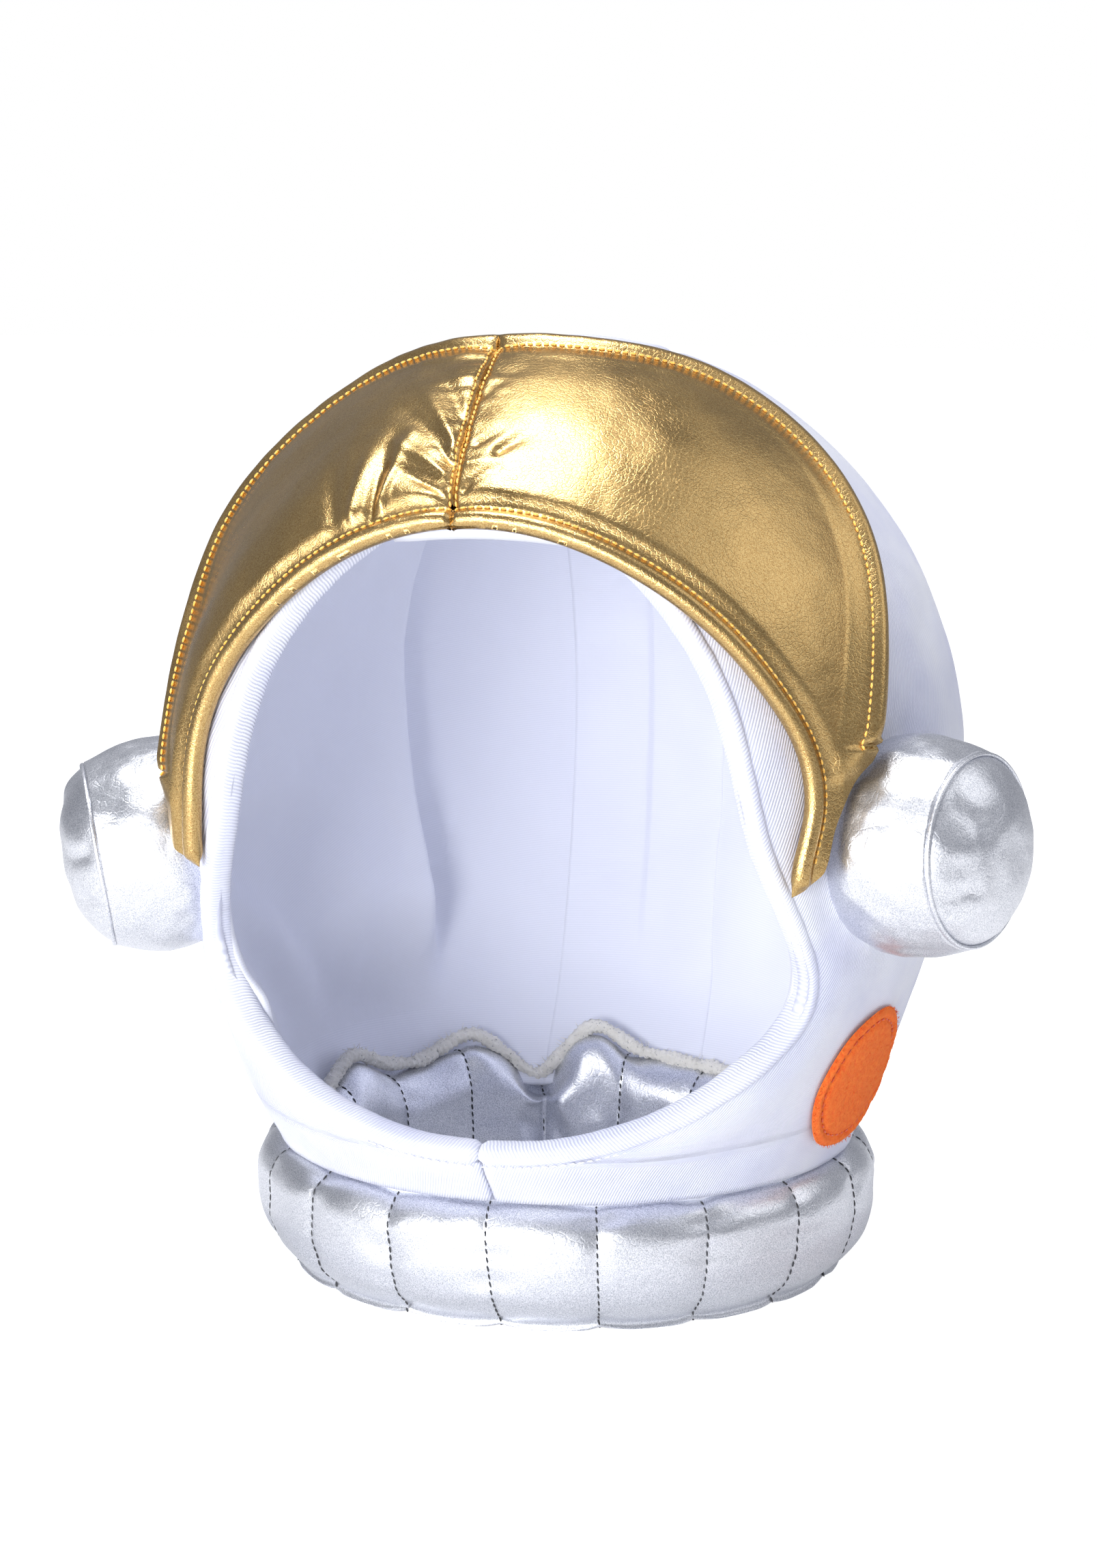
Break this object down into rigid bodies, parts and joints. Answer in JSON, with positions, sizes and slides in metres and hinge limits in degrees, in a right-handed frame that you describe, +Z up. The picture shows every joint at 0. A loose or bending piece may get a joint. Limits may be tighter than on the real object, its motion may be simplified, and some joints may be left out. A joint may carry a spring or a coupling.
{
  "type": "astronaut costume helmet",
  "caption": "Soft padded astronaut costume helmet with a quilted silver neck ring, stuffed ear pods and a gold visor that tips forward over the face opening.",
  "frame": {"origin": "on the floor that the neck ring stands on, under the middle of the whole helmet", "axes": "+Z up, the face looks along -Y, +X is the wearer's left"},
  "size_m": [0.3757, 0.3061, 0.37],
  "materials": {
    "silver_lame": "satin",
    "gold_lame": "satin",
    "gold_lining": "satin",
    "white_twill": "matte",
    "white_lining": "matte",
    "foam": "matte",
    "stuffing": "matte",
    "overlock_yarn": "matte",
    "dark_thread": "matte",
    "white_thread": "matte",
    "orange_felt": "matte",
    "orange_thread": "matte",
    "yellow_thread": "matte",
    "tack": "matte",
    "washer": "matte"
  },
  "bodies": {
    "helmet": {"neck_ring_cover": "silver_lame", "neck_ring_filling": "stuffing", "neck_ring_quilting": "dark_thread", "neck_seam_overlock": "overlock_yarn", "shell_panel_crown": "white_twill", "shell_panel_left": "white_twill", "shell_panel_right": "white_twill", "foam_panel_crown": "foam", "foam_panel_left": "foam", "foam_panel_right": "foam", "lining_panel_crown": "white_lining", "lining_panel_left": "white_lining", "lining_panel_right": "white_lining", "face_hem_left": "white_twill", "face_hem_right": "white_twill", "face_hem_stitching": "white_thread", "ear_pod_band_left": "silver_lame", "ear_pod_band_right": "silver_lame", "ear_pod_cap_left": "silver_lame", "ear_pod_cap_right": "silver_lame", "ear_pod_filling_left": "stuffing", "ear_pod_filling_right": "stuffing", "felt_patch": "orange_felt", "felt_patch_stitching": "orange_thread", "pivot_tack_left": "tack", "pivot_tack_right": "tack"},
    "visor": {"visor_panel_left": "gold_lame", "visor_panel_right": "gold_lame", "visor_foam_left": "foam", "visor_foam_right": "foam", "visor_lining_left": "gold_lining", "visor_lining_right": "gold_lining", "visor_washer_left": "washer", "visor_washer_right": "washer", "visor_front_topstitch": "yellow_thread", "visor_back_topstitch": "yellow_thread", "visor_seam_topstitch": "yellow_thread"}
  },
  "joints": [
    {"name": "visor_tip", "type": "hinge", "parent": "helmet", "child": "visor", "pos_m": [-0.0032, -0.1245, 0.184], "axis": [1, 0, 0], "range_deg": [0, 45]}
  ]
}
